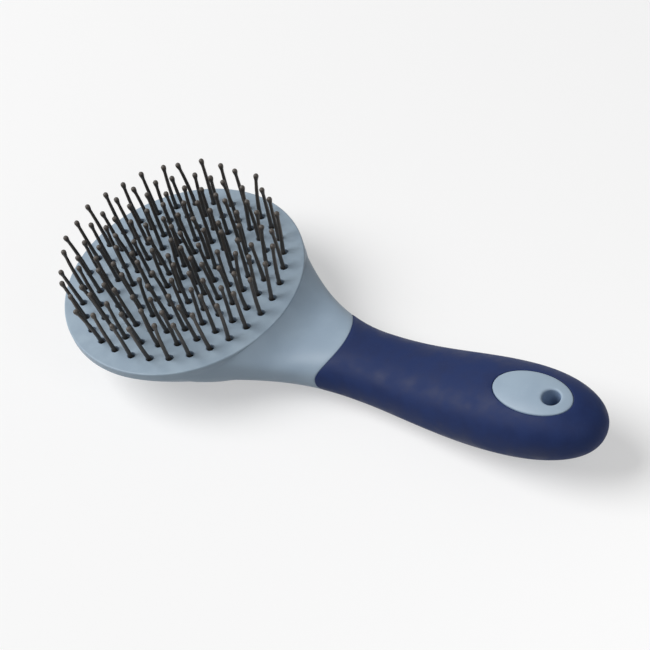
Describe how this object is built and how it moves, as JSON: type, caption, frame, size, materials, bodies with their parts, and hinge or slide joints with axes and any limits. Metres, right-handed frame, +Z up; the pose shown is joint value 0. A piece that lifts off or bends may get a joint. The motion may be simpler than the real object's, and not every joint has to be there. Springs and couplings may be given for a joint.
{
  "type": "mane and tail pin brush",
  "caption": "Grooming brush with a round head of ball-tipped pins, a domed back, and a soft-grip handle with a hanging hole.",
  "frame": {"origin": "centre of the bounding box's base, on the surface that the brush lies on with its pins up", "axes": "+X from the head to the end of the handle, +Y across the handle, +Z up, the way the pins point"},
  "size_m": [0.2262, 0.096, 0.0476],
  "materials": {
    "shell_blue": "satin light grey-blue moulding",
    "grip_navy": "matte soft-touch navy rubber",
    "mat_rubber": "matte black rubber",
    "disc_plastic": "plain black plastic",
    "pin_nylon": "satin warm-black nylon"
  },
  "bodies": {
    "root": {"face_plate": "shell_blue", "brush_body": "shell_blue", "hand_grip": "grip_navy", "pin_mat": "mat_rubber", "clamping_disc": "disc_plastic", "centre_pin": "pin_nylon", "pin_ring_1": "pin_nylon", "pin_ring_2": "pin_nylon", "pin_ring_3": "pin_nylon", "pin_ring_4": "pin_nylon", "pin_ring_5": "pin_nylon", "pin_ring_6": "pin_nylon"}
  },
  "joints": []
}
